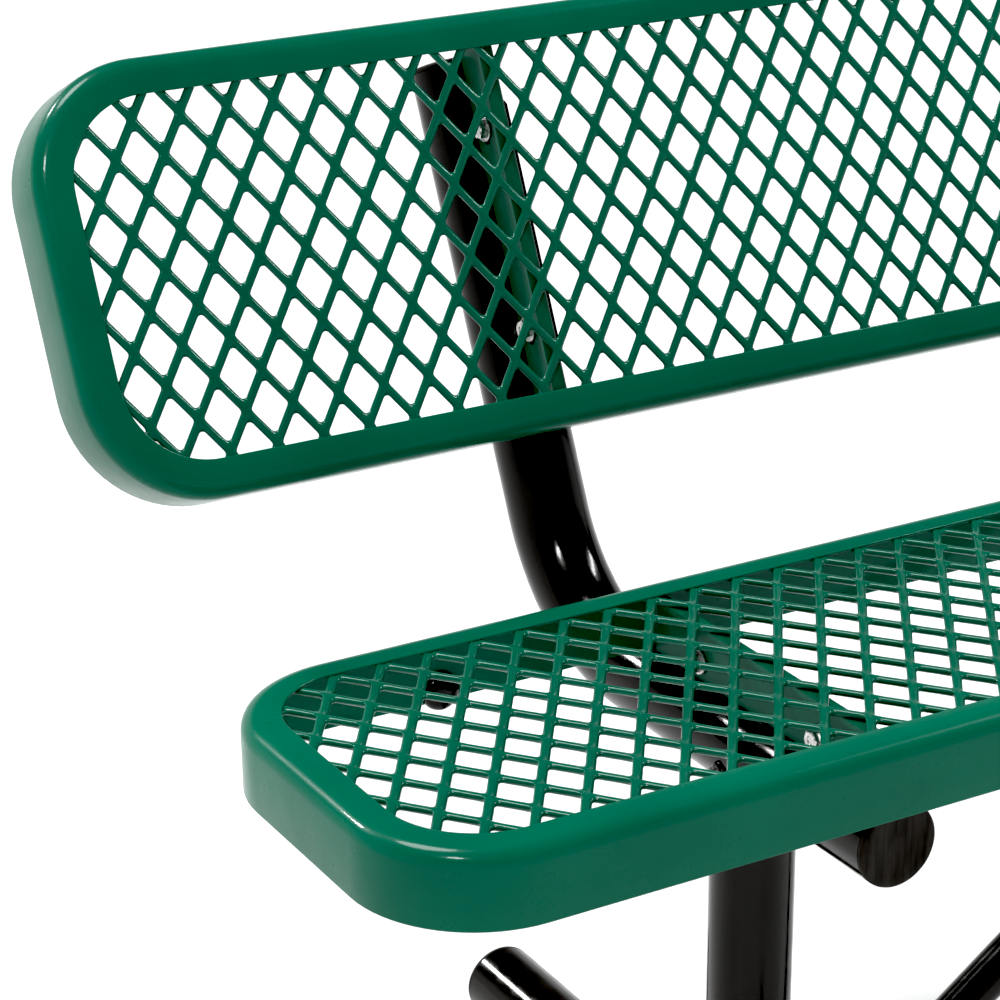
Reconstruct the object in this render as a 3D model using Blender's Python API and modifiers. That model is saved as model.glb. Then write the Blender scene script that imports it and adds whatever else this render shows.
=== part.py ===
"""Park bench with a back: two expanded-metal panels bolted to two bent-tube legs.

Metres, +Z up, +X along the bench, the sitter faces -Y, the feet stand on z = 0.
"""
import math

import bmesh
import bpy
from mathutils import Matrix, Vector

MM = 0.001

# ---- driving dimensions -------------------------------------------------------------
SEAT_LENGTH = 1820 * MM
BACK_LENGTH = 1838 * MM
SEAT_HEIGHT = 477.5 * MM          # ground to the top of the seat rim
PANEL_DEPTH = 305 * MM            # front to back of the seat, bottom to top of the back
LEG_SPACING = 1099 * MM           # middle of one leg to the middle of the other
BACK_RECLINE = math.radians(24.8)
BACK_OFFSET_Y = 323 * MM          # seat centre to back centre
BACK_OFFSET_Z = 224 * MM

RIM_WIDTH = 27 * MM
RIM_HEIGHT = 53 * MM
RIM_WALL = 2.2 * MM
RIM_EDGE_RADIUS = 12 * MM
RIM_CORNER_RADIUS = 88 * MM
CORNER_SEGMENTS = 8

GRILLE_THICKNESS = 4 * MM
GRILLE_EDGE_INSET = 14 * MM       # outer face of the rim to the edge of the grille sheet
OPENING_PITCH_X = 53.0 * MM
OPENING_PITCH_Y = 77.7 * MM
STRAND_WIDTH = 8.5 * MM
GRILLE_BORDER = 4 * MM
SMALLEST_OPENING = 0.12           # share of a whole opening below which none is cut

TUBE_RADIUS = 30.15 * MM
TUBE_WALL = 2.0 * MM
TUBE_SIDES = 20
BEND_STEPS = 9
BEND_RADIUS = 140 * MM
CREST_CLEARANCE = 1.85 * MM       # lip of the rim to the top of the bent tube
SEAT_TUBE_FRONT = 19.5 * MM       # front face of the seat to the end of the tube
BACK_TUBE_TOP = 22 * MM           # top face of the back to the end of the tube

POST_OFFSET_Y = 31 * MM           # seat centre to the axis of the post
FOOT_FRONT_Y = -270 * MM
FOOT_REAR_Y = 390 * MM

BRACKET_END_GAP = 6 * MM          # outer face of the rim to the end of a bracket
BRACKET_PLATE = 4 * MM
BRACKET_FLANGE = 14 * MM
WEB_CLEARANCE = 0.85 * MM         # top of the bent tube to the lower edge of a bracket
BRACKET_BEND = 6 * MM
TAB_PLATE = 5 * MM
TAB_MARGIN = 20 * MM
TAB_TOP_GAP = 10 * MM
TAB_CHAMFER = 8 * MM

BOLT_RADIUS = 4 * MM
HOLE_CLEARANCE = 0.4 * MM
SLOT_LENGTH = 24 * MM
BOLT_RISE = 14.35 * MM            # top of the bent tube to a bolt axis
SEAT_BOLTS_Y = (-51 * MM, 92 * MM)
BACK_BOLTS_Y = (-76 * MM, 73 * MM)
WASHER_RADIUS = 9.75 * MM
WASHER_PLATE = 1.8 * MM
HEX_RADIUS = 7.5 * MM
HEAD_HEIGHT = 5.3 * MM
NUT_HEIGHT = 6.5 * MM
THREAD_TAIL = 3 * MM

PLUG_RADIUS = 14 * MM
PLUG_DEPTH = 9 * MM
PLUG_DROP = 40 * MM               # grille middle plane to the plug's centre
PLUG_END = 180 * MM               # end of the seat to the plug's centre

BRACE_RADIUS = 16 * MM
BRACE_FOOT_OUT = 38 * MM          # leg to the lower brace bolt
BRACE_FOOT_RISE = 10.7 * MM       # top of the foot tube to the lower brace bolt
BRACE_HEAD_OUT = 38 * MM          # middle of the bench to the upper brace bolt
BRACE_HEAD_DROP = 13.4 * MM       # top of the head plate to the upper brace bolt
BRACE_FLAT = 6 * MM
BRACE_FLAT_HALF_WIDTH = 18 * MM
BRACE_END_REACH = 15 * MM
BRACE_FLAT_LENGTH = 46 * MM
BRACE_TAPER = 40 * MM
BRACE_TAB_END = 18 * MM           # brace bolt to the end of its plate
BRACE_TAB_PAST_LEG = 8 * MM
BRACE_TAB_BELOW = 6 * MM          # lower brace bolt to the tab's edges
BRACE_TAB_ABOVE = 14 * MM
BRACE_TAB_RISE = 32 * MM
BRACE_TAB_FALL = 10 * MM
HEAD_PLATE_BELOW = 16 * MM

CAP_FACE = 4 * MM
CAP_PLUG = 18 * MM
GAP = 0.3 * MM
TOOL_REACH = 60 * MM              # half-length of a cutting tool

# ---- positions that follow from the sizes above ---------------------------------------
RIM_TOP = GRILLE_THICKNESS / 2 + GAP + RIM_WALL
GRILLE_Z = SEAT_HEIGHT - RIM_TOP
LEG_X = LEG_SPACING / 2
TUBE_CREST = RIM_HEIGHT - RIM_TOP + CREST_CLEARANCE
TUBE_DROP = TUBE_CREST + TUBE_RADIUS
BRACKET_TOP = -GRILLE_THICKNESS / 2 - GAP
BRACKET_DROP = TUBE_CREST + BRACKET_TOP - WEB_CLEARANCE
BOLT_DEPTH = TUBE_CREST - BOLT_RISE
BRACKET_LENGTH = PANEL_DEPTH - 2 * BRACKET_END_GAP
BOLT_HOLE_RADIUS = BOLT_RADIUS + HOLE_CLEARANCE
WEB_FACE = TAB_PLATE / 2 + GAP
BRACE_PLANE_Y = POST_OFFSET_Y - TUBE_RADIUS - TAB_PLATE - BRACE_FLAT / 2 - 2 * GAP
BRACE_FOOT_Z = 2 * TUBE_RADIUS + BRACE_FOOT_RISE
HEAD_PLATE_TOP = GRILLE_Z + BRACKET_TOP - BRACKET_DROP - GAP

COLOURS = {
    "green_coating": ((0.005, 0.095, 0.045, 1), 0.0, 0.28),
    "black_paint": ((0.008, 0.008, 0.008, 1), 0.0, 0.22),
    "black_plastic": ((0.012, 0.012, 0.012, 1), 0.0, 0.6),
    "zinc_plate": ((0.62, 0.62, 0.6, 1), 1.0, 0.35),
}

for old in list(bpy.data.objects):
    bpy.data.objects.remove(old, do_unlink=True)

parts = bpy.data.collections.new("park_bench")
helpers = bpy.data.collections.new("helpers")
bpy.context.scene.collection.children.link(parts)
bpy.context.scene.collection.children.link(helpers)


# ---- helpers --------------------------------------------------------------------------
def material(slot, name):
    """A Principled material of the slot's colour for one sub-part."""
    mat = bpy.data.materials.new(slot + "_" + name)
    mat.use_nodes = True
    shader = mat.node_tree.nodes["Principled BSDF"]
    colour, metallic, roughness = COLOURS[slot]
    shader.inputs["Base Color"].default_value = colour
    shader.inputs["Metallic"].default_value = metallic
    shader.inputs["Roughness"].default_value = roughness
    return mat


def add_part(name, mesh, slot, smooth_angle=None):
    """Link a mesh as a named sub-part."""
    mesh.materials.clear()
    mesh.materials.append(material(slot, name))
    obj = bpy.data.objects.new(name, mesh)
    parts.objects.link(obj)
    if smooth_angle is not None:
        mesh.shade_smooth()
        mesh.set_sharp_from_angle(angle=smooth_angle)
    return obj


def mesh_from(bm, name):
    """Turn a bmesh into mesh data with outward normals."""
    bmesh.ops.recalc_face_normals(bm, faces=bm.faces)
    mesh = bpy.data.meshes.new(name)
    bm.to_mesh(mesh)
    bm.free()
    return mesh


def mesh_of_curve(curve, name):
    """Evaluate a curve into welded mesh data and drop the curve."""
    temp = bpy.data.objects.new(name, curve)
    helpers.objects.link(temp)
    bpy.context.view_layer.update()
    depsgraph = bpy.context.evaluated_depsgraph_get()
    mesh = bpy.data.meshes.new_from_object(temp.evaluated_get(depsgraph))
    bpy.data.objects.remove(temp, do_unlink=True)
    bm = bmesh.new()
    bm.from_mesh(mesh)
    bmesh.ops.remove_doubles(bm, verts=bm.verts, dist=0.00001)
    bmesh.ops.recalc_face_normals(bm, faces=bm.faces)
    bm.to_mesh(mesh)
    bm.free()
    return mesh


def poly_spline(curve, points, cyclic):
    """Add a poly spline through the points."""
    spline = curve.splines.new("POLY")
    spline.points.add(len(points) - 1)
    for spot, point in zip(spline.points, points):
        spot.co = (point[0], point[1], point[2] if len(point) > 2 else 0.0, 1.0)
    spline.use_cyclic_u = cyclic
    return spline


def rounded_rectangle(half_x, half_y, radius, segments=CORNER_SEGMENTS):
    """Corner points of a rounded rectangle, anticlockwise."""
    points = []
    for corner, (sx, sy) in enumerate(((1, 1), (-1, 1), (-1, -1), (1, -1))):
        for step in range(segments + 1):
            angle = math.pi / 2 * (corner + step / segments)
            points.append((sx * (half_x - radius) + radius * math.cos(angle),
                           sy * (half_y - radius) + radius * math.sin(angle)))
    return points


def flat_plate(name, outline, holes, thickness):
    """A flat plate in its own XY plane, centred on z = 0, with through holes."""
    curve = bpy.data.curves.new(name, "CURVE")
    curve.dimensions = "2D"
    curve.fill_mode = "BOTH"
    curve.extrude = thickness / 2
    poly_spline(curve, outline, True)
    for hole in holes:
        poly_spline(curve, hole, True)
    return mesh_of_curve(curve, name)


def stadium(cx, cy, length, radius, segments=8):
    """A slot outline along local x with round ends."""
    reach = max(length / 2 - radius, 0.0)
    points = []
    for step in range(segments + 1):
        angle = -math.pi / 2 + math.pi * step / segments
        points.append((cx + reach + radius * math.cos(angle), cy + radius * math.sin(angle)))
    first = 1 if reach == 0.0 else 0
    last = segments if reach == 0.0 else segments + 1
    for step in range(first, last):
        angle = math.pi / 2 + math.pi * step / segments
        points.append((cx - reach + radius * math.cos(angle), cy + radius * math.sin(angle)))
    return points


def cylinder_between(name, start, end, radius, sides=TUBE_SIDES):
    """A solid round bar between two points."""
    start, end = Vector(start), Vector(end)
    bm = bmesh.new()
    bmesh.ops.create_cone(bm, cap_ends=True, segments=sides, radius1=radius, radius2=radius,
                          depth=(end - start).length)
    turn = Vector((0, 0, 1)).rotation_difference(end - start).to_matrix().to_4x4()
    bmesh.ops.transform(bm, matrix=Matrix.Translation((start + end) / 2) @ turn, verts=bm.verts)
    return mesh_from(bm, name)


def turned(name, profile, steps):
    """A solid of revolution about z from (radius, height) pairs."""
    bm = bmesh.new()
    verts = [bm.verts.new((x, 0, z)) for x, z in profile]
    for first, second in zip(verts, verts[1:]):
        bm.edges.new((first, second))
    bmesh.ops.spin(bm, geom=bm.verts[:] + bm.edges[:], axis=(0, 0, 1), cent=(0, 0, 0),
                   steps=steps, angle=math.tau, use_merge=True)
    bmesh.ops.remove_doubles(bm, verts=bm.verts, dist=0.00001)
    return mesh_from(bm, name)


def cutter(name, mesh, frame=None):
    """A hidden tool body for a Boolean."""
    obj = bpy.data.objects.new(name, mesh)
    helpers.objects.link(obj)
    obj.hide_render = True
    obj.display_type = "WIRE"
    if frame is not None:
        obj.matrix_world = frame
    return obj


def combine(target, tool, operation):
    """An exact Boolean of the target with a tool body."""
    modifier = target.modifiers.new(operation.lower(), "BOOLEAN")
    modifier.operation = operation
    modifier.solver = "EXACT"
    modifier.object = tool


def tube_along(name, points, radius, wall):
    """A hollow tube with open ends along a path."""
    curve = bpy.data.curves.new(name, "CURVE")
    curve.dimensions = "3D"
    curve.bevel_depth = radius
    curve.bevel_resolution = TUBE_SIDES // 2 - 2
    curve.use_fill_caps = False
    poly_spline(curve, points, False)
    obj = add_part(name, mesh_of_curve(curve, name), "black_paint", math.radians(40))
    shell = obj.modifiers.new("wall", "SOLIDIFY")
    shell.thickness = wall
    shell.offset = -1.0
    shell.use_even_offset = True
    return obj


# ---- frames -----------------------------------------------------------------------------
SEAT_FRAME = Matrix.Translation((0, 0, GRILLE_Z))
BACK_FRAME = (Matrix.Translation((0, BACK_OFFSET_Y, GRILLE_Z + BACK_OFFSET_Z))
              @ Matrix.Rotation(math.pi / 2 - BACK_RECLINE, 4, "X"))
LEGS = (("left", -LEG_X), ("right", LEG_X))
PANELS = (("seat", SEAT_FRAME, SEAT_LENGTH, SEAT_BOLTS_Y),
          ("back", BACK_FRAME, BACK_LENGTH, BACK_BOLTS_Y))


# ---- panels -----------------------------------------------------------------------------
def rim_profile():
    """Section of the rim: x outward from its outer face, y up from the grille plane."""
    lip = RIM_TOP - RIM_HEIGHT
    inner_radius = RIM_EDGE_RADIUS - RIM_WALL
    points = [(0.0, lip)]
    for step in range(6):
        angle = math.pi / 2 * step / 5
        points.append((-RIM_EDGE_RADIUS + RIM_EDGE_RADIUS * math.cos(angle),
                       RIM_TOP - RIM_EDGE_RADIUS + RIM_EDGE_RADIUS * math.sin(angle)))
    points.append((-RIM_WIDTH, RIM_TOP))
    points.append((-RIM_WIDTH, RIM_TOP - RIM_WALL))
    for step in range(5):
        angle = math.pi / 2 * (1 - step / 4)
        points.append((-RIM_EDGE_RADIUS + inner_radius * math.cos(angle),
                       RIM_TOP - RIM_EDGE_RADIUS + inner_radius * math.sin(angle)))
    points.append((-RIM_WALL, lip))
    return points


def build_rim(name, frame, length):
    """The one-piece rim: its section swept round a rounded rectangle."""
    section_curve = bpy.data.curves.new(name + "_section", "CURVE")
    section_curve.dimensions = "2D"
    poly_spline(section_curve, rim_profile(), True)
    section = bpy.data.objects.new(name + "_section", section_curve)
    helpers.objects.link(section)
    path = bpy.data.curves.new(name, "CURVE")
    path.dimensions = "3D"
    path.bevel_mode = "OBJECT"
    path.bevel_object = section
    path.twist_mode = "Z_UP"
    outline = rounded_rectangle(length / 2, PANEL_DEPTH / 2, RIM_CORNER_RADIUS)
    poly_spline(path, outline, True)
    rim = add_part(name, mesh_of_curve(path, name), "green_coating", math.radians(40))
    rim.matrix_world = frame
    section.hide_render = True
    return rim


def build_grille(name, frame, length):
    """The expanded sheet: staggered diamond openings inside a plain border."""
    half_x = length / 2 - GRILLE_EDGE_INSET
    half_y = PANEL_DEPTH / 2 - GRILLE_EDGE_INSET
    corner = RIM_CORNER_RADIUS - GRILLE_EDGE_INSET
    diagonal = math.hypot(OPENING_PITCH_X, OPENING_PITCH_Y)
    reach_x = (OPENING_PITCH_X - STRAND_WIDTH * diagonal / OPENING_PITCH_Y) / 2
    reach_y = (OPENING_PITCH_Y - STRAND_WIDTH * diagonal / OPENING_PITCH_X) / 2
    columns = int(half_x / (OPENING_PITCH_X / 2)) + 1
    rows = int(half_y / (OPENING_PITCH_Y / 2)) + 1
    holes = []
    for row in range(-rows, rows + 1):
        for column in range(-columns, columns + 1):
            if (row + column) % 2:
                continue
            cx = column * OPENING_PITCH_X / 2
            cy = row * OPENING_PITCH_Y / 2
            hole = clip_opening(cx, cy, reach_x, reach_y, half_x - GRILLE_BORDER,
                                half_y - GRILLE_BORDER, corner - GRILLE_BORDER)
            if hole:
                holes.append(hole)
    outline = rounded_rectangle(half_x, half_y, corner)
    mesh = flat_plate(name, outline, holes, GRILLE_THICKNESS)
    grille = add_part(name, mesh, "green_coating")
    grille.matrix_world = frame
    return grille


def clip_opening(cx, cy, reach_x, reach_y, half_x, half_y, corner):
    """A diamond cut back to the plain border, or None where too little of it is left."""
    diamond = [(cx + reach_x, cy), (cx, cy + reach_y), (cx - reach_x, cy), (cx, cy - reach_y)]
    limits = [((1, 0), half_x), ((-1, 0), half_x), ((0, 1), half_y), ((0, -1), half_y)]
    for sx in (-1, 1):
        for sy in (-1, 1):
            for turn in (22.5, 45.0, 67.5):
                nx = sx * math.cos(math.radians(turn))
                ny = sy * math.sin(math.radians(turn))
                reach = abs(nx) * (half_x - corner) + abs(ny) * (half_y - corner) + corner
                limits.append(((nx, ny), reach * 0.998))
    for (nx, ny), limit in limits:
        kept = []
        for index, point in enumerate(diamond):
            following = diamond[(index + 1) % len(diamond)]
            here = limit - nx * point[0] - ny * point[1]
            there = limit - nx * following[0] - ny * following[1]
            if here >= 0:
                kept.append(point)
            if here * there < 0:
                share = here / (here - there)
                kept.append((point[0] + share * (following[0] - point[0]),
                             point[1] + share * (following[1] - point[1])))
        diamond = kept
        if len(diamond) < 3:
            return None
    area = sum(a[0] * b[1] - b[0] * a[1] for a, b in zip(diamond, diamond[1:] + diamond[:1])) / 2
    if area < SMALLEST_OPENING * 2 * reach_x * reach_y:
        return None
    return diamond


# ---- brackets, tabs and bolts ---------------------------------------------------------------
def angle_section(side):
    """L section of a bracket, x along the bench and y up; the flange points to one side."""
    outer = side * (WEB_FACE + BRACKET_PLATE)
    tip = side * (WEB_FACE + BRACKET_FLANGE)
    inner_bend = BRACKET_BEND - BRACKET_PLATE
    points = [(side * WEB_FACE, BRACKET_TOP - BRACKET_DROP)]
    for step in range(5):
        angle = math.pi / 2 * step / 4
        points.append((side * (WEB_FACE + BRACKET_BEND * (1 - math.cos(angle))),
                       BRACKET_TOP - BRACKET_BEND * (1 - math.sin(angle))))
    points.append((tip, BRACKET_TOP))
    points.append((tip, BRACKET_TOP - BRACKET_PLATE))
    for step in range(4):
        angle = math.pi / 2 * (1 - step / 3)
        points.append((side * (WEB_FACE + BRACKET_BEND - inner_bend * math.cos(angle)),
                       BRACKET_TOP - BRACKET_BEND + inner_bend * math.sin(angle)))
    points.append((outer, BRACKET_TOP - BRACKET_DROP))
    return points


UPRIGHT = Matrix(((1, 0, 0, 0), (0, 0, -1, 0), (0, 1, 0, 0), (0, 0, 0, 1)))
SIDEWAYS = Matrix(((0, 0, 1, 0), (1, 0, 0, 0), (0, 1, 0, 0), (0, 0, 0, 1)))


def build_bracket(name, frame, leg_x, side, bolts):
    """Angle across a panel with a slot in its web for each bolt."""
    mesh = flat_plate(name, angle_section(side), (), BRACKET_LENGTH)
    bracket = add_part(name, mesh, "green_coating", math.radians(30))
    bracket.matrix_world = frame @ Matrix.Translation((leg_x, 0, 0)) @ UPRIGHT
    for index, bolt_y in enumerate(bolts):
        slot = flat_plate(name + "_slot", stadium(bolt_y, -BOLT_DEPTH, SLOT_LENGTH, BOLT_HOLE_RADIUS),
                          (), TOOL_REACH)
        tool = cutter("%s_slot_%d" % (name, index), slot,
                      frame @ Matrix.Translation((leg_x, 0, 0)) @ SIDEWAYS)
        combine(bracket, tool, "DIFFERENCE")
    return bracket


def build_tab(name, frame, leg_x, bolts):
    """Plate welded along the crest of the tube, drilled for the bolts."""
    bottom = -TUBE_CREST + GAP
    top = BRACKET_TOP - TAB_TOP_GAP
    middle = (bolts[0] + bolts[1]) / 2
    half = (bolts[1] - bolts[0]) / 2 + TAB_MARGIN
    outline = [(middle - half, bottom), (middle + half, bottom),
               (middle + half, top - TAB_CHAMFER), (middle + half - TAB_CHAMFER, top),
               (middle - half + TAB_CHAMFER, top), (middle - half, top - TAB_CHAMFER)]
    holes = [stadium(y, -BOLT_DEPTH, 0.0, BOLT_HOLE_RADIUS) for y in bolts]
    tab = add_part(name, flat_plate(name, outline, holes, TAB_PLATE), "black_paint")
    tab.matrix_world = frame @ Matrix.Translation((leg_x, 0, 0)) @ SIDEWAYS
    return tab


def build_bolt(name, frame, clamped):
    """Hex bolt with its washer and nut; the clamped plates lie between z = 0 and clamped."""
    reach = clamped + GAP + NUT_HEIGHT + THREAD_TAIL
    stack = [
        ("washer", -GAP - WASHER_PLATE, -GAP, WASHER_RADIUS, 14),
        ("head", -GAP - WASHER_PLATE - HEAD_HEIGHT, -GAP - WASHER_PLATE / 2, HEX_RADIUS, 6),
        ("nut", clamped + GAP, clamped + GAP + NUT_HEIGHT, HEX_RADIUS, 6),
    ]
    shank = cylinder_between(name, (0, 0, -GAP - WASHER_PLATE - HEAD_HEIGHT / 2), (0, 0, reach),
                             BOLT_RADIUS, 8)
    bolt = add_part(name, shank, "zinc_plate", math.radians(35))
    bolt.matrix_world = frame
    for label, low, high, radius, sides in stack:
        mesh = cylinder_between(name + label, (0, 0, low), (0, 0, high), radius, sides)
        combine(bolt, cutter("%s_%s" % (name, label), mesh, frame), "UNION")
    return bolt


def along(frame, origin, direction):
    """A frame whose z axis runs along a direction of the given frame."""
    turn = Vector((0, 0, 1)).rotation_difference(Vector(direction)).to_matrix().to_4x4()
    return frame @ Matrix.Translation(origin) @ turn


# ---- tubes and caps --------------------------------------------------------------------------
def seat_tube_path(leg_x):
    """Axis of the bent tube: level under the seat, then up behind the back."""
    rise = Vector((0, math.sin(BACK_RECLINE), math.cos(BACK_RECLINE)))
    back_axis = BACK_FRAME @ Vector((0, 0, -TUBE_DROP))
    level = GRILLE_Z - TUBE_DROP
    corner = back_axis - rise * ((back_axis.z - level) / rise.z)
    turn = math.pi / 2 - BACK_RECLINE
    tangent = BEND_RADIUS * math.tan(turn / 2)
    centre = Vector((0, corner.y - tangent, level + BEND_RADIUS))
    points = [Vector((0, -PANEL_DEPTH / 2 + SEAT_TUBE_FRONT + CAP_FACE + GAP, level))]
    for step in range(BEND_STEPS + 1):
        angle = turn * step / BEND_STEPS
        points.append(centre + BEND_RADIUS * Vector((0, math.sin(angle), -math.cos(angle))))
    points.append(back_axis + rise * (PANEL_DEPTH / 2 - BACK_TUBE_TOP - CAP_FACE - GAP))
    return [point + Vector((leg_x, 0, 0)) for point in points]


def build_cap(name, mouth, outward):
    """Round plug pushed into a tube mouth, with a flange as wide as the tube."""
    plug_radius = TUBE_RADIUS - TUBE_WALL - 2 * GAP
    profile = [(0.0, CAP_FACE + GAP), (TUBE_RADIUS - 3 * MM, CAP_FACE + GAP),
               (TUBE_RADIUS - 0.1 * MM, GAP + 1.5 * MM), (TUBE_RADIUS - 0.1 * MM, GAP),
               (plug_radius, GAP), (plug_radius - 1 * MM, -CAP_PLUG), (0.0, -CAP_PLUG)]
    cap = add_part(name, turned(name, profile, TUBE_SIDES), "black_plastic", math.radians(35))
    cap.matrix_world = along(Matrix.Translation(mouth), (0, 0, 0), outward)
    return cap


def build_leg(label, leg_x):
    """Bent tube, post and foot tube of one leg with their end caps."""
    path = seat_tube_path(leg_x)
    tube_along("support_tube_" + label, path, TUBE_RADIUS, TUBE_WALL)
    build_cap("seat_tube_cap_" + label, path[0], path[0] - path[1])
    build_cap("back_tube_cap_" + label, path[-1], path[-1] - path[-2])

    rear = Vector((leg_x, FOOT_REAR_Y - CAP_FACE - GAP, TUBE_RADIUS))
    front = Vector((leg_x, FOOT_FRONT_Y + CAP_FACE + GAP, TUBE_RADIUS))
    tube_along("foot_tube_" + label, (front, rear), TUBE_RADIUS, TUBE_WALL)
    build_cap("foot_front_cap_" + label, front, front - rear)
    build_cap("foot_rear_cap_" + label, rear, rear - front)

    level = GRILLE_Z - TUBE_DROP
    foot_axis = Vector((leg_x, POST_OFFSET_Y, TUBE_RADIUS))
    seat_axis = Vector((leg_x, POST_OFFSET_Y, level))
    post = tube_along("post_" + label, (foot_axis, seat_axis), TUBE_RADIUS, TUBE_WALL)
    for place, axis in (("foot", foot_axis), ("seat", seat_axis)):
        reach = Vector((0, TOOL_REACH, 0))
        mesh = cylinder_between("cope", axis - reach, axis + reach, TUBE_RADIUS + GAP, 2 * TUBE_SIDES)
        combine(post, cutter("post_%s_cope_%s" % (label, place), mesh), "DIFFERENCE")


def build_plug(label, side):
    """Domed plug on the inner face of the seat's rear rim."""
    profile = [(0.0, PLUG_DEPTH), (0.45 * PLUG_RADIUS, 0.92 * PLUG_DEPTH),
               (0.82 * PLUG_RADIUS, 0.6 * PLUG_DEPTH), (PLUG_RADIUS, 0.15 * PLUG_DEPTH),
               (PLUG_RADIUS, 0.0), (0.0, 0.0)]
    spot = Vector((side * (SEAT_LENGTH / 2 - PLUG_END), PANEL_DEPTH / 2 - RIM_WALL - GAP,
                   -PLUG_DROP))
    plug = add_part("apron_plug_" + label, turned("apron_plug_" + label, profile, 16),
                    "black_plastic", math.radians(40))
    plug.matrix_world = along(SEAT_FRAME, spot, (0, -1, 0))


# ---- braces ----------------------------------------------------------------------------------
def brace_ends(side):
    """Lower and upper bolt centres of a brace."""
    low_x = LEG_X - BRACE_FOOT_OUT
    low = Vector((side * low_x, BRACE_PLANE_Y, BRACE_FOOT_Z))
    high = Vector((side * BRACE_HEAD_OUT, BRACE_PLANE_Y, HEAD_PLATE_TOP - BRACE_HEAD_DROP))
    return low, high


def brace_ring(bm, station, half_width, half_depth, sides=16):
    """One cross-section of a brace; x lies across the flattened end, y through it."""
    ring = []
    for index in range(sides):
        angle = math.tau * (index + 0.5) / sides
        ring.append(bm.verts.new((half_width * math.cos(angle), half_depth * math.sin(angle), station)))
    return ring


def build_brace(label, side):
    """Round brace with both ends pressed flat and drilled."""
    low, high = brace_ends(side)
    length = (high - low).length
    bm = bmesh.new()
    flat_end = BRACE_FLAT_LENGTH - BRACE_END_REACH
    stations = [(-BRACE_END_REACH, 0.0), (flat_end, 0.0), (flat_end + BRACE_TAPER / 2, 0.5),
                (flat_end + BRACE_TAPER, 1.0)]
    stations += [(length - station, share) for station, share in reversed(stations)]
    rings = []
    for station, share in stations:
        half_width = BRACE_FLAT_HALF_WIDTH + share * (BRACE_RADIUS - BRACE_FLAT_HALF_WIDTH)
        half_depth = BRACE_FLAT / 2 + share * (BRACE_RADIUS - BRACE_FLAT / 2)
        rings.append(brace_ring(bm, station, half_width, half_depth))
    for ring, following in zip(rings, rings[1:]):
        for index in range(len(ring)):
            after = (index + 1) % len(ring)
            bm.faces.new((ring[index], ring[after], following[after], following[index]))
    bm.faces.new(rings[0])
    bm.faces.new(list(reversed(rings[-1])))
    brace = add_part("brace_" + label, mesh_from(bm, "brace_" + label), "black_paint",
                     math.radians(40))
    run = (high - low).normalized()
    through = Vector((0, 1, 0))
    across = through.cross(run)
    frame = Matrix((across, through, run)).transposed().to_4x4()
    brace.matrix_world = Matrix.Translation(low) @ frame
    for place, spot in (("foot", low), ("head", high)):
        reach = Vector((0, BRACE_RADIUS, 0))
        mesh = cylinder_between("hole", spot - reach, spot + reach, BOLT_HOLE_RADIUS, 12)
        combine(brace, cutter("brace_%s_hole_%s" % (label, place), mesh), "DIFFERENCE")
        start = spot - Vector((0, BRACE_FLAT / 2, 0))
        build_bolt("brace_%s_bolt_%s" % (place, label), along(Matrix(), start, (0, 1, 0)),
                   BRACE_FLAT + GAP + TAB_PLATE)


def upright_plate(name, outline, holes, front_y):
    """A plate standing across the bench, its front face at the given y."""
    plate = add_part(name, flat_plate(name, outline, holes, TAB_PLATE), "black_paint")
    plate.matrix_world = Matrix.Translation((0, front_y + TAB_PLATE / 2, 0)) @ UPRIGHT
    return plate


def build_brace_plates():
    """Foot tabs on the posts and the head plate under the middle bracket."""
    front = BRACE_PLANE_Y + BRACE_FLAT / 2 + GAP
    for label, side in (("left", -1), ("right", 1)):
        low, high = brace_ends(side)
        inner = low.x - side * BRACE_TAB_END
        outer = side * (LEG_X + BRACE_TAB_PAST_LEG)
        bottom = low.z - BRACE_TAB_BELOW
        outline = [(outer, bottom), (inner, bottom - BRACE_TAB_FALL),
                   (inner, low.z + BRACE_TAB_ABOVE), (outer, low.z + BRACE_TAB_RISE)]
        hole = stadium(low.x, low.z, 0.0, BOLT_HOLE_RADIUS)
        upright_plate("brace_tab_" + label, outline, (hole,), front)
    low, high = brace_ends(1)
    half = high.x + BRACE_TAB_END
    bottom = high.z - HEAD_PLATE_BELOW
    outline = [(-half, HEAD_PLATE_TOP), (-half, bottom), (half, bottom), (half, HEAD_PLATE_TOP)]
    holes = [stadium(side * high.x, high.z, 0.0, BOLT_HOLE_RADIUS) for side in (-1, 1)]
    upright_plate("brace_head_plate", outline, holes, front)


# ---- assembly --------------------------------------------------------------------------------
for panel, panel_frame, panel_length, bolt_rows in PANELS:
    build_rim(panel + "_rim", panel_frame, panel_length)
    build_grille(panel + "_grille", panel_frame, panel_length)
    for leg_label, leg_place in LEGS:
        build_bracket("%s_bracket_%s" % (panel, leg_label), panel_frame, leg_place, -1, bolt_rows)
        build_tab("%s_tab_%s" % (panel, leg_label), panel_frame, leg_place, bolt_rows)
        for order, bolt_place in enumerate(bolt_rows):
            spot = (leg_place - WEB_FACE - BRACKET_PLATE, bolt_place, -BOLT_DEPTH)
            build_bolt("%s_bolt_%s_%d" % (panel, leg_label, order + 1),
                       along(panel_frame, spot, (1, 0, 0)), BRACKET_PLATE + GAP + TAB_PLATE)

build_bracket("seat_bracket_middle", SEAT_FRAME, WEB_FACE + BRACKET_PLATE / 2, -1, ())

for leg_label, leg_place in LEGS:
    build_leg(leg_label, leg_place)
    build_brace(leg_label, -1 if leg_place < 0 else 1)
    build_plug(leg_label, -1 if leg_place < 0 else 1)
build_brace_plates()

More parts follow.
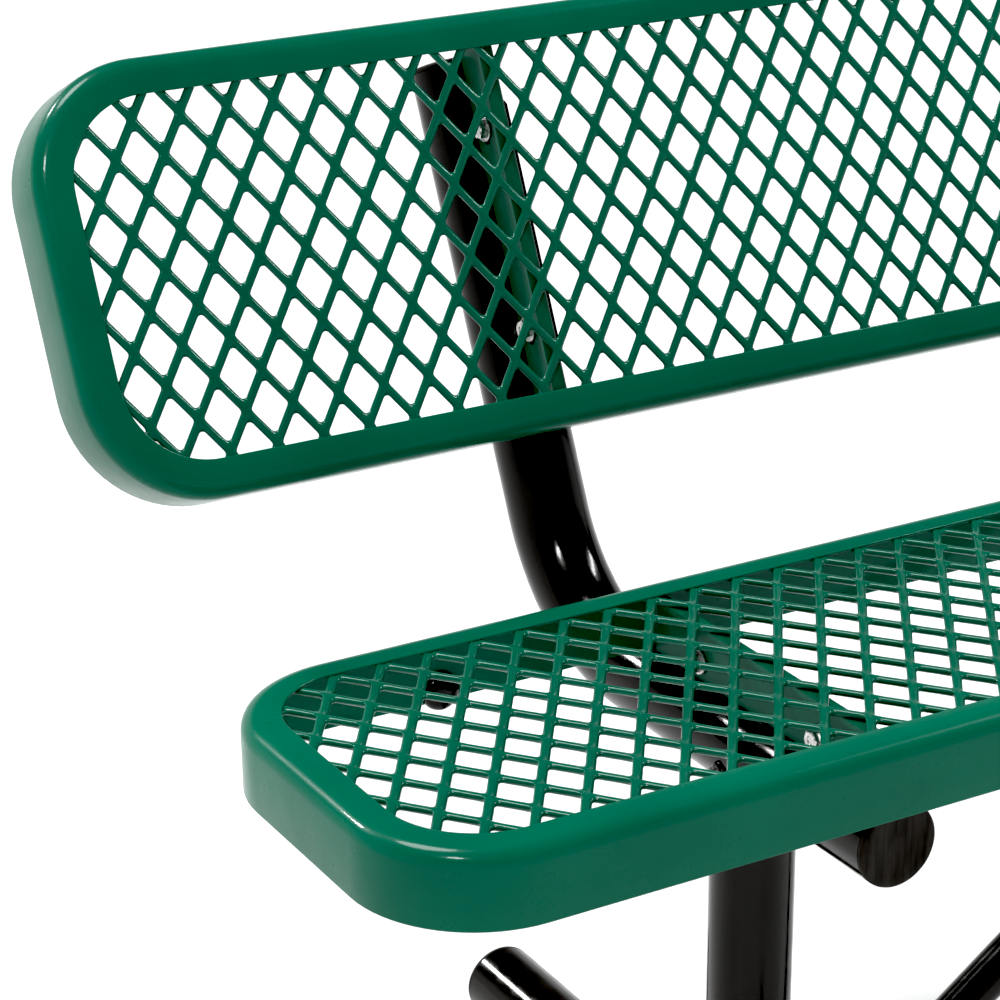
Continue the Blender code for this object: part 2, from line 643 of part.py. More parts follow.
bpy.context.view_layer.update()
graph = bpy.context.evaluated_depsgraph_get()
corners_y = [(obj.matrix_world @ vertex.co).y
             for obj in parts.objects for vertex in obj.evaluated_get(graph).data.vertices]
shift = Matrix.Translation((0, -(min(corners_y) + max(corners_y)) / 2, 0))
for obj in list(parts.objects) + list(helpers.objects):
    obj.matrix_world = shift @ obj.matrix_world
bpy.context.view_layer.update()
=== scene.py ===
"""Visual model of the coated park bench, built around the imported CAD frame."""
import math

import bmesh
import bpy
from mathutils import Matrix, Vector


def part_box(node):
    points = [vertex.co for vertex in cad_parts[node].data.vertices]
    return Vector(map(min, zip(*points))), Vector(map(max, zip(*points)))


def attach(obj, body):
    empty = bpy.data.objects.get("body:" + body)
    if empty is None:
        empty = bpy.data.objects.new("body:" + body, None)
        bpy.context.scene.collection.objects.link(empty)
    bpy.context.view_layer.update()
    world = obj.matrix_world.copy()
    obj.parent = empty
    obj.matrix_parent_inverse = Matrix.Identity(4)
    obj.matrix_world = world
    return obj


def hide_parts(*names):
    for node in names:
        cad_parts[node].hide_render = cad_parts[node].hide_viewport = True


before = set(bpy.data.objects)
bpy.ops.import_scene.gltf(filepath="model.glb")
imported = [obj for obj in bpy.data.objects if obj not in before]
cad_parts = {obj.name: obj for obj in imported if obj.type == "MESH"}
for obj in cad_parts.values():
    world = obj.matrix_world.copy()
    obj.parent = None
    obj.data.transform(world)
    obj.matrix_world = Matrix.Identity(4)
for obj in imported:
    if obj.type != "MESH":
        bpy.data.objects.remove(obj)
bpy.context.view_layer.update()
MM = 0.001

# ---- sizes shared with the CAD part -----------------------------------------------------
RECLINE = math.radians(24.8)
PANEL_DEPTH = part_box("seat_rim")[1].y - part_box("seat_rim")[0].y
RIM_TOP = 4.5 * MM
RIM_DROP = 48.5 * MM
RIM_WIDTH = 27 * MM
RIM_WALL = 2.2 * MM
RIM_ROUND = 12 * MM
RIM_CORNER = 88 * MM
SHEET_INSET = 9 * MM
TUBE_RADIUS = 30.15 * MM
BEND_RADIUS = 140 * MM
CAP_FACE = 4.3 * MM
CAP_EDGE_ROUND = 2.6 * MM
CAP_PLUG_DEPTH = 17 * MM
BACK_TUBE_TOP = 26.4 * MM         # top face of the back to the mouth of the bent tube
TUBE_MOUTH = 4.2 * MM             # face of a seat cap to the mouth of the bent tube
WELD_RADIUS = 2.6 * MM
BRACE_RADIUS = 16 * MM
BRACE_FLAT = 6 * MM
BRACE_FLAT_HALF_WIDTH = 18 * MM
BRACE_END_REACH = 15 * MM         # bolt to the end of a brace
BRACE_FLAT_REACH = 31 * MM        # bolt to where the flattened end starts to round out
BRACE_TAPER = 40 * MM
WASHER_RADIUS = 9.75 * MM
HEX_RADIUS = 7.5 * MM
THREAD_RADIUS = 4.0 * MM
THREAD_ROOT = 3.45 * MM
THREAD_STEP = 0.6 * MM

# ---- the expanded sheet ------------------------------------------------------------------
HALF_PITCH_X = 17.68 * MM
HALF_PITCH_Y = 25.9 * MM
STRAND_WIDTH = 6.8 * MM
STRAND_THICKNESS = 5.4 * MM
STRAND_TILT = 1.4 * MM
OPENING_FILLET = 3.0 * MM
SEAT_FIRST_OPENING = 28 * MM      # inner edge of the rim to the first opening's centre
BACK_FIRST_OPENING = 34.5 * MM
BACK_ROW_OFFSET = 6.4 * MM


# ---- materials ---------------------------------------------------------------------------
def new_material(name, colour, roughness, metallic=0.0, specular=0.5, coat=0.0, coat_roughness=0.1):
    mat = bpy.data.materials.new(name)
    mat.use_nodes = True
    shader = mat.node_tree.nodes["Principled BSDF"]
    shader.inputs["Base Color"].default_value = colour
    shader.inputs["Roughness"].default_value = roughness
    shader.inputs["Metallic"].default_value = metallic
    shader.inputs["Specular IOR Level"].default_value = specular
    shader.inputs["Coat Weight"].default_value = coat
    shader.inputs["Coat Roughness"].default_value = coat_roughness
    return mat


def noise(mat, scale, detail=3.0, stretch=(1, 1, 1)):
    """Noise on object coordinates, in waves per metre."""
    nodes, links = mat.node_tree.nodes, mat.node_tree.links
    coord = nodes.new("ShaderNodeTexCoord")
    mapping = nodes.new("ShaderNodeMapping")
    mapping.inputs["Scale"].default_value = stretch
    texture = nodes.new("ShaderNodeTexNoise")
    texture.inputs["Scale"].default_value = scale
    texture.inputs["Detail"].default_value = detail
    links.new(coord.outputs["Object"], mapping.inputs["Vector"])
    links.new(mapping.outputs["Vector"], texture.inputs["Vector"])
    return texture.outputs["Fac"]


def ramp(mat, source, low, high, low_value, high_value):
    """Map a factor onto a range of values or colours."""
    node = mat.node_tree.nodes.new("ShaderNodeValToRGB")
    node.color_ramp.elements[0].position = low
    node.color_ramp.elements[1].position = high
    for element, value in zip(node.color_ramp.elements, (low_value, high_value)):
        element.color = value if isinstance(value, tuple) else (value, value, value, 1)
    mat.node_tree.links.new(source, node.inputs["Fac"])
    return node.outputs["Color"]


def connect(mat, source, socket):
    mat.node_tree.links.new(source, mat.node_tree.nodes["Principled BSDF"].inputs[socket])


def add_bump(mat, layers):
    """Stack bump layers, each (height factor, distance in metres, strength)."""
    previous = None
    for height, distance, strength in layers:
        bump = mat.node_tree.nodes.new("ShaderNodeBump")
        bump.inputs["Distance"].default_value = distance
        bump.inputs["Strength"].default_value = strength
        mat.node_tree.links.new(height, bump.inputs["Height"])
        if previous is not None:
            mat.node_tree.links.new(previous, bump.inputs["Normal"])
        previous = bump.outputs["Normal"]
    connect(mat, previous, "Normal")


def green_coating(name, runs, depth, gloss):
    """Thick dipped plastic coating: deep green, glossy, with slow sags and fine orange peel. A depth
    below 1 darkens the whole green as painted shade.
    """
    mat = new_material(name, (0.0, 0.1, 0.057, 1), 0.3, specular=0.1, coat=gloss, coat_roughness=0.045)
    tone = noise(mat, 7.0, 4.0)
    # depth scales the green down; below 1 it is painted shade, not a darker coating
    connect(mat, ramp(mat, tone, 0.32, 0.7, (0.0, 0.088 * depth, 0.051 * depth, 1),
                      (0.0, 0.108 * depth, 0.062 * depth, 1)), "Base Color")
    rub = noise(mat, 42.0, 5.0)
    connect(mat, ramp(mat, rub, 0.35, 0.75, 0.27, 0.36), "Roughness")
    peel = noise(mat, 420.0, 2.0)
    sag = noise(mat, 38.0, 2.0)
    add_bump(mat, ((sag, 0.0012, runs), (peel, 0.00012, 0.5)))
    return mat


def black_enamel(name):
    """Glossy black powder coat with fine orange peel and faint handling marks."""
    mat = new_material(name, (0.004, 0.003, 0.002, 1), 0.16, specular=0.22, coat=0.1, coat_roughness=0.05)
    dust = noise(mat, 16.0, 5.0)
    connect(mat, ramp(mat, dust, 0.35, 0.8, (0.0035, 0.0028, 0.002, 1), (0.008, 0.0068, 0.005, 1)),
            "Base Color")
    rub = noise(mat, 60.0, 6.0)
    connect(mat, ramp(mat, rub, 0.4, 0.75, 0.11, 0.27), "Roughness")
    peel = noise(mat, 500.0, 2.0)
    wave = noise(mat, 30.0, 2.0)
    add_bump(mat, ((wave, 0.0006, 0.35), (peel, 0.0001, 0.4)))
    return mat


def black_plastic(name):
    """Matte moulded plastic with a faint upright grain."""
    mat = new_material(name, (0.014, 0.012, 0.01, 1), 0.55, specular=0.13)
    grain = noise(mat, 260.0, 4.0, (1.0, 0.12, 1.0))
    connect(mat, ramp(mat, grain, 0.3, 0.72, (0.011, 0.0098, 0.0085, 1), (0.028, 0.025, 0.022, 1)),
            "Base Color")
    rub = noise(mat, 90.0, 4.0)
    connect(mat, ramp(mat, rub, 0.3, 0.8, 0.42, 0.68), "Roughness")
    add_bump(mat, ((grain, 0.0003, 0.6),))
    return mat


def zinc(name):
    """Bright zinc plating, slightly mottled, darker in the marks."""
    mat = new_material(name, (0.6, 0.6, 0.58, 1), 0.3, metallic=1.0)
    mottle = noise(mat, 330.0, 5.0)
    connect(mat, ramp(mat, mottle, 0.3, 0.7, (0.36, 0.355, 0.34, 1), (0.74, 0.74, 0.72, 1)),
            "Base Color")
    connect(mat, ramp(mat, noise(mat, 700.0, 4.0), 0.3, 0.8, 0.2, 0.46), "Roughness")
    add_bump(mat, ((mottle, 0.00012, 0.5),))
    return mat


# painted shade: the sheet (depth 0.92) and the bracket under the seat (depth 0.85) are darker copies of
# the rim's green
SHEET_GREEN = green_coating("sheet_green", 0.75, 0.92, 0.36)
RIM_GREEN = green_coating("rim_green", 0.16, 1.0, 0.22)
BRACKET_GREEN = green_coating("bracket_green", 0.35, 0.85, 0.08)
BLACK = black_enamel("tube_black")
PLASTIC = black_plastic("cap_black")
ZINC = zinc("fastener_zinc")


# ---- helpers -------------------------------------------------------------------------------
def place(name, data, mat, nodes=(), matrix=None):
    """Link a piece, give it its material, and let it ride on the bench."""
    obj = bpy.data.objects.new(name, data)
    bpy.context.scene.collection.objects.link(obj)
    if matrix is not None:
        obj.matrix_world = matrix
    if not data.materials:
        data.materials.append(mat)
    bpy.context.view_layer.update()
    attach(obj, "root")
    if nodes:
        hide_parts(*nodes)
    return obj


def finish_mesh(bm, name, angle=35):
    """Mesh data with outward normals, smooth apart from real edges."""
    bmesh.ops.recalc_face_normals(bm, faces=bm.faces)
    mesh = bpy.data.meshes.new(name)
    bm.to_mesh(mesh)
    bm.free()
    mesh.shade_smooth()
    mesh.set_sharp_from_angle(angle=math.radians(angle))
    return mesh


def half_length_of(rim):
    low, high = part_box(rim)
    return (high.x - low.x) / 2


def middle(node):
    low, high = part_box(node)
    return (low + high) / 2


def rounded_rectangle(half_x, half_y, radius, segments):
    points = []
    for corner, (sx, sy) in enumerate(((1, 1), (-1, 1), (-1, -1), (1, -1))):
        for step in range(segments + 1):
            angle = math.pi / 2 * (corner + step / segments)
            points.append((sx * (half_x - radius) + radius * math.cos(angle),
                           sy * (half_y - radius) + radius * math.sin(angle)))
    return points


def loft(bm, rings, closed=False, capped=False):
    """Skin matching rings of vertices."""
    pairs = list(zip(rings, rings[1:]))
    if closed:
        pairs.append((rings[-1], rings[0]))
    for ring, following in pairs:
        for index in range(len(ring)):
            after = (index + 1) % len(ring)
            bm.faces.new((ring[index], ring[after], following[after], following[index]))
    if capped:
        bm.faces.new(rings[0])
        bm.faces.new(list(reversed(rings[-1])))


# ---- rims ------------------------------------------------------------------------------------
def arc(cx, cy, radius, start, end, steps):
    return [(cx + radius * math.cos(math.radians(start + (end - start) * i / steps)),
             cy + radius * math.sin(math.radians(start + (end - start) * i / steps)))
            for i in range(steps + 1)]


def rim_section():
    """Closed section of the rim: x outward from the outer face, y up from the sheet."""
    lip = RIM_WALL / 2
    inner = RIM_ROUND - RIM_WALL
    centre_y = RIM_TOP - RIM_ROUND
    edge = RIM_WALL / 2
    points = arc(-RIM_ROUND, centre_y, RIM_ROUND, 0, 90, 10)
    points += arc(edge - RIM_WIDTH, RIM_TOP - edge, edge, 90, 270, 6)
    points += arc(-RIM_ROUND, centre_y, inner, 90, 0, 8)
    points += arc(-lip, lip - RIM_DROP, lip, 180, 360, 6)
    return points


def build_rim(name, matrix, node):
    half_length = half_length_of(node)
    bm = bmesh.new()
    rings = []
    for out, up in rim_section():
        path = rounded_rectangle(half_length + out, PANEL_DEPTH / 2 + out,
                                 RIM_CORNER + out, 18)
        rings.append([bm.verts.new((x, y, up)) for x, y in path])
    loft(bm, rings, closed=True)
    return place(name, finish_mesh(bm, name, 50), RIM_GREEN, (node,), matrix)


# ---- expanded sheets ---------------------------------------------------------------------------
def opening_outline():
    """Rounded diamond of one opening and the matching points of its tile's edge."""
    reach = HALF_PITCH_X * HALF_PITCH_Y / math.hypot(HALF_PITCH_X, HALF_PITCH_Y)
    scale = (reach - STRAND_WIDTH / 2 - OPENING_FILLET) / reach
    side, tip = HALF_PITCH_X * scale, HALF_PITCH_Y * scale
    lean = math.degrees(math.atan2(HALF_PITCH_X, HALF_PITCH_Y))
    quarter = arc(side, 0, OPENING_FILLET, 0, lean, 2)
    quarter += arc(0, tip, OPENING_FILLET, lean, 90, 2)
    steps = len(quarter) - 1
    edge = [(HALF_PITCH_X * (1 - i / steps), HALF_PITCH_Y * i / steps) for i in range(steps + 1)]
    rings = []
    for points in (quarter, edge):
        ring = points[:-1]
        ring += [(-x, y) for x, y in reversed(points)][:-1]
        ring += [(-x, -y) for x, y in points][:-1]
        ring += [(x, -y) for x, y in reversed(points)][:-1]
        rings.append(ring)
    return rings


STRAND_RINGS = ((0.0, 1.0), (0.4, 0.94), (0.72, 0.72), (0.93, 0.37), (1.0, 0.0), (0.93, -0.37),
                (0.72, -0.72), (0.4, -0.94), (0.0, -1.0))


def first_to_shift(half_length, first):
    """Offset of the opening lattice that puts one opening's centre that far inside the rim."""
    wanted = RIM_WIDTH + first - half_length
    pitch = 2 * HALF_PITCH_X
    return wanted - pitch * round(wanted / pitch)


def build_sheet(name, matrix, node, rim, first_opening, shift_y):
    """Expanded sheet: a tile for each opening, cut off under the rim."""
    inner, outer = opening_outline()
    half_length = half_length_of(rim)
    shift_x = first_to_shift(half_length, first_opening)
    half_x = half_length - SHEET_INSET
    half_y = PANEL_DEPTH / 2 - SHEET_INSET
    corner = RIM_CORNER - SHEET_INSET
    widest = max(x for x, y in inner)
    limits = []
    for turn in range(0, 360, 15):
        nx, ny = math.cos(math.radians(turn)), math.sin(math.radians(turn))
        limits.append((nx, ny, abs(nx) * (half_x - corner) + abs(ny) * (half_y - corner) + corner))
    bm = bmesh.new()
    columns = int(half_x / HALF_PITCH_X) + 2
    rows = int(half_y / HALF_PITCH_Y) + 2
    for row in range(-rows, rows + 1):
        for column in range(-columns, columns + 1):
            if (row + column) % 2:
                continue
            cx, cy = column * HALF_PITCH_X + shift_x, row * HALF_PITCH_Y + shift_y
            past = max(nx * cx + ny * cy - limit for nx, ny, limit in limits)
            if past > HALF_PITCH_X:
                continue
            rings = []
            for share, height in STRAND_RINGS:
                ring = []
                for (ix, iy), (ox, oy) in zip(inner, outer):
                    x, y = ox + share * (ix - ox), oy + share * (iy - oy)
                    z = height * STRAND_THICKNESS / 2 + share * STRAND_TILT * ix / widest
                    ring.append(bm.verts.new((cx + x, cy + y, z)))
                rings.append(ring)
            loft(bm, rings)
    bmesh.ops.remove_doubles(bm, verts=bm.verts, dist=0.00002)
    for nx, ny, limit in limits:
        faces = [f for f in bm.faces
                 if max(v.co.x * nx + v.co.y * ny for v in f.verts) > limit]
        edges = list({e for f in faces for e in f.edges})
        verts = list({v for f in faces for v in f.verts})
        bmesh.ops.bisect_plane(bm, geom=faces + edges + verts, dist=0.000001,
                               plane_co=(nx * limit, ny * limit, 0), plane_no=(nx, ny, 0),
                               clear_outer=True)
    loose = [v for v in bm.verts if not v.link_faces]
    bmesh.ops.delete(bm, geom=loose, context="VERTS")
    rim_edges = [e for e in bm.edges if e.is_boundary]
    bmesh.ops.holes_fill(bm, edges=rim_edges, sides=0)
    return place(name, finish_mesh(bm, name, 60), SHEET_GREEN, (node,), matrix)


# ---- tubes, posts and caps -----------------------------------------------------------------------
def rod(name, points, radius, mat, nodes=(), cyclic=False, caps=True, resolution=12):
    """A round bar or tube along a path."""
    curve = bpy.data.curves.new(name, "CURVE")
    curve.dimensions = "3D"
    curve.bevel_depth = radius
    curve.bevel_resolution = resolution
    curve.use_fill_caps = caps
    spline = curve.splines.new("POLY")
    spline.points.add(len(points) - 1)
    for spot, point in zip(spline.points, points):
        spot.co = (point[0], point[1], point[2], 1)
    spline.use_cyclic_u = cyclic
    spline.use_smooth = True
    return place(name, curve, mat, nodes)


def weld_ring(name, centre, up):
    """Weld bead along the saddle where the post meets a tube of the same size."""
    points = []
    count = 96
    for step in range(count):
        angle = math.tau * step / count
        ripple = 1 + 0.012 * math.sin(29 * angle)
        x = TUBE_RADIUS * 1.005 * math.cos(angle) * ripple
        y = TUBE_RADIUS * 1.005 * math.sin(angle) * ripple
        rise = math.sqrt(max(TUBE_RADIUS ** 2 - (TUBE_RADIUS * math.cos(angle)) ** 2, 0))
        rise = 0.9 * rise + 0.1 * TUBE_RADIUS
        points.append(Vector(centre) + Vector((x, y, up * rise)))
    return rod(name, points, WELD_RADIUS, BLACK, cyclic=True, caps=False, resolution=4)


def tube_path(label):
    """Axis of the bent tube, from the seat's front to behind the back's top rim."""
    front = middle("seat_tube_cap_" + label)
    rise = Vector((0, math.sin(RECLINE), math.cos(RECLINE)))
    normal = Vector((0, -math.cos(RECLINE), math.sin(RECLINE)))
    drop = middle("seat_grille").z - front.z
    sheet = middle("back_grille")
    back_axis = Vector((front.x, sheet.y, sheet.z)) - normal * drop
    corner = back_axis - rise * ((back_axis.z - front.z) / rise.z)
    turn = math.pi / 2 - RECLINE
    tangent = BEND_RADIUS * math.tan(turn / 2)
    centre = Vector((front.x, corner.y - tangent, front.z + BEND_RADIUS))
    cap_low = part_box("seat_tube_cap_" + label)[0].y
    points = [Vector((front.x, cap_low + TUBE_MOUTH, front.z))]
    for step in range(33):
        angle = turn * step / 32
        points.append(centre + BEND_RADIUS * Vector((0, math.sin(angle), -math.cos(angle))))
    points.append(back_axis + rise * (PANEL_DEPTH / 2 - BACK_TUBE_TOP))
    return points


def cap_mesh():
    """Moulded plug: a flat face with a rounded edge, a fine groove and the plug behind."""
    radius = TUBE_RADIUS - 0.1 * MM
    groove = 0.2 * MM
    profile = [(radius * 0.74, CAP_FACE - groove), (radius * 0.76, CAP_FACE)]
    profile += reversed(arc(radius - CAP_EDGE_ROUND, CAP_FACE - CAP_EDGE_ROUND, CAP_EDGE_ROUND,
                            0, 90, 6))
    profile += [(radius, 0.3 * MM), (radius - 2.6 * MM, 0.3 * MM),
                (radius - 3.2 * MM, -CAP_PLUG_DEPTH)]
    bm = bmesh.new()
    rings = []
    for x, z in profile:
        rings.append([bm.verts.new((x * math.cos(math.tau * i / 64), x * math.sin(math.tau * i / 64), z))
                      for i in range(64)])
    loft(bm, rings, capped=True)
    return finish_mesh(bm, "tube_cap", 30)


CAP_MESH = cap_mesh()


def build_cap(node, mouth, outward):
    turn = Vector((0, 0, 1)).rotation_difference(outward).to_matrix().to_4x4()
    return place(node + "_moulded", CAP_MESH, PLASTIC, (node,), Matrix.Translation(mouth) @ turn)


def build_leg(label):
    path = tube_path(label)
    rod("bent_tube_" + label, path, TUBE_RADIUS, BLACK, ("support_tube_" + label,), resolution=22)
    build_cap("seat_tube_cap_" + label, path[0], (path[0] - path[1]).normalized())
    build_cap("back_tube_cap_" + label, path[-1], (path[-1] - path[-2]).normalized())
    front = middle("foot_front_cap_" + label)
    rear = middle("foot_rear_cap_" + label)
    front.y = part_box("foot_front_cap_" + label)[0].y + CAP_FACE
    rear.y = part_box("foot_rear_cap_" + label)[1].y - CAP_FACE
    rod("ground_tube_" + label, (front, rear), TUBE_RADIUS, BLACK, ("foot_tube_" + label,),
        resolution=22)
    build_cap("foot_front_cap_" + label, front, Vector((0, -1, 0)))
    build_cap("foot_rear_cap_" + label, rear, Vector((0, 1, 0)))
    post = middle("post_" + label)
    low = Vector((post.x, post.y, front.z + 8 * MM))
    high = Vector((post.x, post.y, path[0].z - 8 * MM))
    rod("upright_" + label, (low, high), TUBE_RADIUS, BLACK, ("post_" + label,), resolution=22)
    weld_ring("weld_low_" + label, (post.x, post.y, front.z), 1)
    weld_ring("weld_high_" + label, (post.x, post.y, path[0].z), -1)


# ---- braces -----------------------------------------------------------------------------------
def build_brace(label, side):
    """Round brace with both ends pressed flat."""
    bolt_low, bolt_high = middle("brace_foot_bolt_" + label), middle("brace_head_bolt_" + label)
    low_y, high_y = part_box("brace_" + label)[0].y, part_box("brace_" + label)[1].y
    low = Vector((bolt_low.x, (low_y + high_y) / 2, bolt_low.z))
    high = Vector((bolt_high.x, (low_y + high_y) / 2, bolt_high.z))
    length = (high - low).length
    stations = [(-BRACE_END_REACH, 0.0, 0.55), (2 * MM - BRACE_END_REACH, 0.0, 0.8),
                (7 * MM - BRACE_END_REACH, 0.0, 1.0), (BRACE_FLAT_REACH, 0.0, 1.0)]
    for step in range(1, 11):
        ease = 0.5 - 0.5 * math.cos(math.pi * step / 10)
        stations.append((BRACE_FLAT_REACH + BRACE_TAPER * step / 10, ease, 1.0))
    stations += [(length - s, ease, taper) for s, ease, taper in reversed(stations)]
    bm = bmesh.new()
    rings = []
    for station, ease, taper in stations:
        half_width = (BRACE_FLAT_HALF_WIDTH + ease * (BRACE_RADIUS - BRACE_FLAT_HALF_WIDTH)) * taper
        half_depth = BRACE_FLAT / 2 + ease * (BRACE_RADIUS - BRACE_FLAT / 2)
        power = 0.45 + 0.55 * ease
        ring = []
        for index in range(40):
            angle = math.tau * index / 40
            c, s = math.cos(angle), math.sin(angle)
            ring.append(bm.verts.new((half_width * math.copysign(abs(c) ** power, c),
                                      half_depth * math.copysign(abs(s) ** power, s), station)))
        rings.append(ring)
    loft(bm, rings, capped=True)
    run = (high - low).normalized()
    through = Vector((0, 1, 0))
    turn = Matrix((through.cross(run), through, run)).transposed().to_4x4()
    place("diagonal_" + label, finish_mesh(bm, "diagonal_" + label, 40), BLACK, ("brace_" + label,),
          Matrix.Translation(low) @ turn)


def build_plug(node):
    """Glossy domed plug on the inside of the rear rim."""
    low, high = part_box(node)
    radius, depth = (high.x - low.x) / 2, high.y - low.y
    profile = [(radius * math.sin(math.radians(a)), depth * math.cos(math.radians(a)) ** 0.8)
               for a in range(8, 90, 8)] + [(radius, 0.0)]
    bm = bmesh.new()
    rings = [ring_of(bm, x, z, 0, 48) for x, z in profile]
    loft(bm, rings, capped=True)
    spot = Vector(((low.x + high.x) / 2, high.y, (low.z + high.z) / 2))
    turn = Matrix.Rotation(math.pi / 2, 4, "X")
    place(node + "_domed", finish_mesh(bm, node, 40), BLACK, (node,), Matrix.Translation(spot) @ turn)


# ---- fasteners ---------------------------------------------------------------------------------
def ring_of(bm, radius, z, sides, count, turn=0.0):
    """A ring of vertices on a circle or a hexagon."""
    ring = []
    for index in range(count):
        angle = math.tau * index / count + turn
        reach = radius
        if sides:
            sector = math.tau / sides
            off = (angle % sector) - sector / 2
            reach = radius * math.cos(sector / 2) / math.cos(off)
        ring.append(bm.verts.new((reach * math.cos(angle), reach * math.sin(angle), z)))
    return ring


def bolt_mesh(name, length):
    """Hex bolt along z with its head at z = 0: chamfered head, washer, thread and nut."""
    bm = bmesh.new()
    head, washer, nut = 5.3 * MM, 1.8 * MM, 6.5 * MM
    tail = length - 3 * MM
    hexagon = ((5.9 * MM, 0.0, 0), (HEX_RADIUS, 0.7 * MM, 6), (HEX_RADIUS, head, 6))
    rings = [ring_of(bm, 3.0 * MM, 0.9 * MM, 0, 48), ring_of(bm, 3.3 * MM, 0.15 * MM, 0, 48),
             ring_of(bm, 5.6 * MM, 0.0, 0, 48)]
    rings += [ring_of(bm, radius, z, sides, 48) for radius, z, sides in hexagon]
    loft(bm, rings, capped=True)
    rounding = 0.4 * MM
    flat = WASHER_RADIUS - 0.45 * MM
    rings = [ring_of(bm, radius, z, 0, 48) for radius, z in
             ((5.0 * MM, head), (flat, head), (WASHER_RADIUS, head + rounding),
              (WASHER_RADIUS, head + washer - rounding), (flat, head + washer),
              (5.0 * MM, head + washer))]
    loft(bm, rings, capped=True)
    base = tail - nut
    rings = [ring_of(bm, 6.6 * MM, base, 0, 48), ring_of(bm, HEX_RADIUS, base + 0.5 * MM, 6, 48),
             ring_of(bm, HEX_RADIUS, tail - 0.6 * MM, 6, 48), ring_of(bm, 6.4 * MM, tail, 0, 48)]
    loft(bm, rings, capped=True)
    rings = [ring_of(bm, THREAD_RADIUS, head + washer - 0.5 * MM, 0, 32)]
    turns = int((length - base - 1.2 * MM) / THREAD_STEP)
    for step in range(2 * turns):
        radius = THREAD_RADIUS if step % 2 else THREAD_ROOT
        rings.append(ring_of(bm, radius, base - 1 * MM + step * THREAD_STEP, 0, 32))
        if rings[-1][0].co.z > length - 1.4 * MM:
            break
    rings.append(ring_of(bm, 3.2 * MM, length - 0.2 * MM, 0, 32))
    loft(bm, rings, capped=True)
    return finish_mesh(bm, name, 30)


def build_bolts():
    plate_bolt = bolt_mesh("plate_bolt", 26.5 * MM)
    brace_bolt = bolt_mesh("brace_bolt", 28.5 * MM)
    for number, node in enumerate(sorted(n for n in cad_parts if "_bolt_" in n)):
        low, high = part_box(node)
        centre = (low + high) / 2
        if node.startswith("brace"):
            start, axis, mesh = Vector((centre.x, low.y, centre.z)), Vector((0, 1, 0)), brace_bolt
        else:
            start, axis, mesh = Vector((low.x, centre.y, centre.z)), Vector((1, 0, 0)), plate_bolt
        turn = Vector((0, 0, 1)).rotation_difference(axis).to_matrix().to_4x4()
        spin = Matrix.Rotation(math.radians(17 * number), 4, "Z")
        place(node + "_hex", mesh, ZINC, (node,), Matrix.Translation(start) @ turn @ spin)


# ---- plates kept from the CAD ----------------------------------------------------------------------
def dress_plates():
    """Brackets and tabs keep their CAD solids, with softened edges and their own finish."""
    for name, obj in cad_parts.items():
        if "bracket" in name:
            mat, width = BRACKET_GREEN, 0.9 * MM
        elif "_tab_" in name or name == "brace_head_plate":
            mat, width = BLACK, 0.5 * MM
        else:
            continue
        obj.data.materials.clear()
        obj.data.materials.append(mat)
        bevel = obj.modifiers.new("softened", "BEVEL")
        bevel.width = width
        bevel.segments = 3
        bevel.limit_method = "ANGLE"
        bevel.angle_limit = math.radians(50)


# ---- assembly ----------------------------------------------------------------------------------
seat_centre = middle("seat_grille")
back_centre = middle("back_grille")
seat_matrix = Matrix.Translation(seat_centre)
back_matrix = Matrix.Translation(back_centre) @ Matrix.Rotation(math.pi / 2 - RECLINE, 4, "X")

build_rim("seat_rim_coated", seat_matrix, "seat_rim")
build_rim("back_rim_coated", back_matrix, "back_rim")
build_sheet("seat_sheet_expanded", seat_matrix, "seat_grille", "seat_rim",
            SEAT_FIRST_OPENING, 0.0)
build_sheet("back_sheet_expanded", back_matrix, "back_grille", "back_rim",
            BACK_FIRST_OPENING, BACK_ROW_OFFSET)
for leg, sign in (("left", -1), ("right", 1)):
    build_leg(leg)
    build_brace(leg, sign)
    build_plug("apron_plug_" + leg)
build_bolts()
dress_plates()

# ---- floor, light and camera: the sky is pale down to the horizon and dimmer overhead --------------
floor_mesh = bpy.data.meshes.new("floor")
floor_mesh.from_pydata([(-40, -40, 0), (40, -40, 0), (40, 40, 0), (-40, 40, 0)], [], [(0, 1, 2, 3)])
floor = bpy.data.objects.new("floor", floor_mesh)
floor.location.z = -0.5 * MM
bpy.context.scene.collection.objects.link(floor)
floor_mat = new_material("floor_white", (0.76, 0.76, 0.76, 1), 0.9, specular=0.0)
floor_mesh.materials.append(floor_mat)

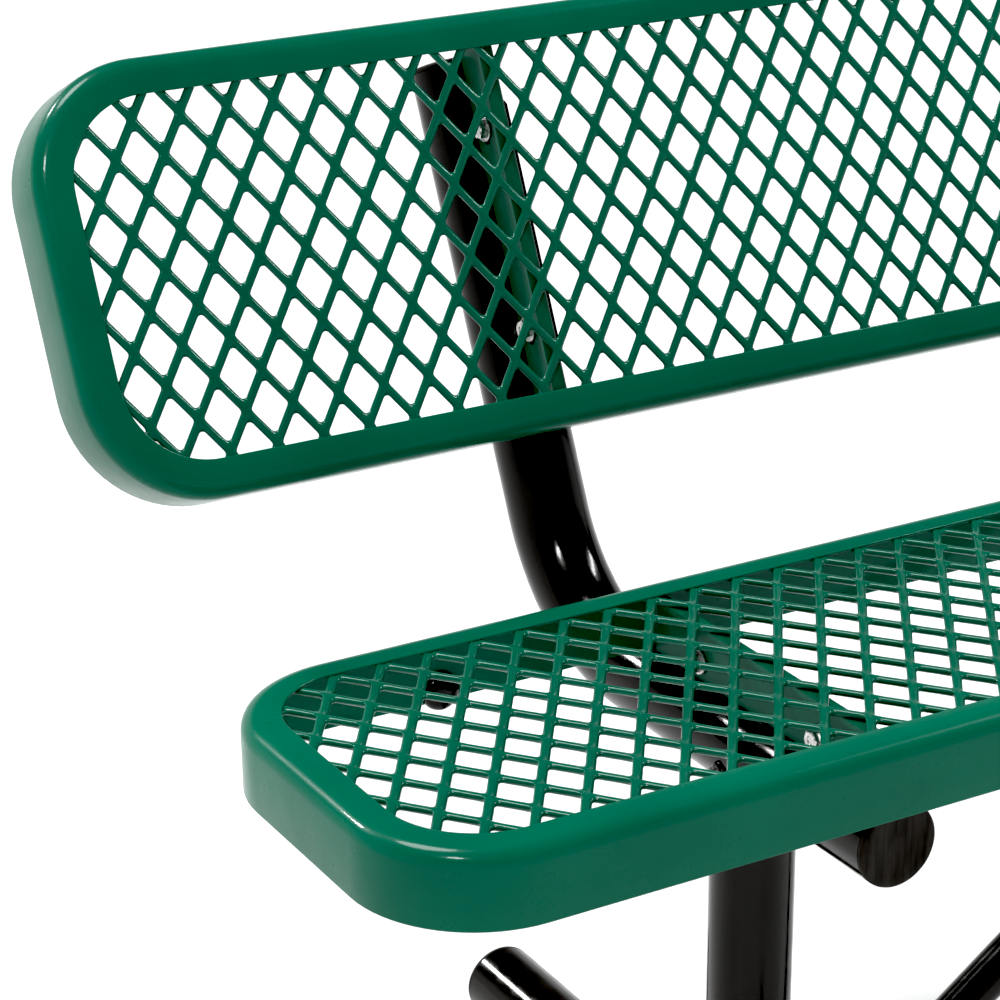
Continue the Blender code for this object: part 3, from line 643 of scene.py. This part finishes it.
world = bpy.data.worlds.new("studio")
bpy.context.scene.world = world
world.use_nodes = True
background = world.node_tree.nodes["Background"]
background.inputs["Strength"].default_value = 1.0
sky_direction = world.node_tree.nodes.new("ShaderNodeTexCoord")
sky_height = world.node_tree.nodes.new("ShaderNodeSeparateXYZ")
sky_tone = world.node_tree.nodes.new("ShaderNodeValToRGB")
sky_tone.color_ramp.elements[0].position = 0.2
sky_tone.color_ramp.elements[0].color = (1, 1, 1, 1)
sky_tone.color_ramp.elements[1].position = 0.34
sky_tone.color_ramp.elements[1].color = (0.25, 0.25, 0.25, 1)
world.node_tree.links.new(sky_direction.outputs["Generated"], sky_height.inputs["Vector"])
world.node_tree.links.new(sky_height.outputs["Z"], sky_tone.inputs["Fac"])
world.node_tree.links.new(sky_tone.outputs["Color"], background.inputs["Color"])


def lamp(name, kind, location, target, energy):
    """A studio light aimed at a point."""
    light = bpy.data.lights.new(name, kind)
    light.energy = energy
    obj = bpy.data.objects.new(name, light)
    obj.location = location
    direction = Vector(target) - Vector(location)
    obj.rotation_euler = direction.to_track_quat("-Z", "Y").to_euler()
    bpy.context.scene.collection.objects.link(obj)
    return light


overhead = lamp("overhead", "SUN", (-1.0, 1.4, 4.6), (0, 0, 0), 2.8)
overhead.angle = math.radians(24)
kicker = lamp("kicker", "SUN", (-1.6, 3.4, 2.6), (0, 0, 0), 1.5)
kicker.angle = math.radians(7)
side = lamp("side_strip", "AREA", (2.4, -0.4, 3.3), (0, 0.1, 0.5), 80)
side.shape = "RECTANGLE"
side.size, side.size_y = 0.4, 1.4
front = lamp("front_panel", "AREA", (-2.9, -1.9, 3.6), (-0.3, 0, 0.5), 60)
front.shape = "RECTANGLE"
front.size, front.size_y = 0.7, 0.5

CAMERA_AZIMUTH = 30.464
CAMERA_ELEVATION = 23.841
CAMERA_ROLL = -0.212
camera_data = bpy.data.cameras.new("camera")
camera_data.lens = 110.45
camera_data.shift_x = -0.04
camera_data.shift_y = 0.12
camera_data.sensor_width = 36.0
camera_data.clip_end = 200.0
camera = bpy.data.objects.new("camera", camera_data)
bpy.context.scene.collection.objects.link(camera)
camera.location = (-1.6334, seat_centre.y - 1.5214, 1.3243)
camera.rotation_euler = (Matrix.Rotation(-math.radians(CAMERA_AZIMUTH), 4, "Z")
                         @ Matrix.Rotation(math.radians(90 - CAMERA_ELEVATION), 4, "X")
                         @ Matrix.Rotation(math.radians(CAMERA_ROLL), 4, "Z")).to_euler()
bpy.context.scene.camera = camera
view = bpy.context.scene.view_settings
view.view_transform = "Standard"
view.use_curve_mapping = True
view.curve_mapping.black_level = (0.024, 0.024, 0.024)
view.curve_mapping.update()

bpy.context.view_layer.update()
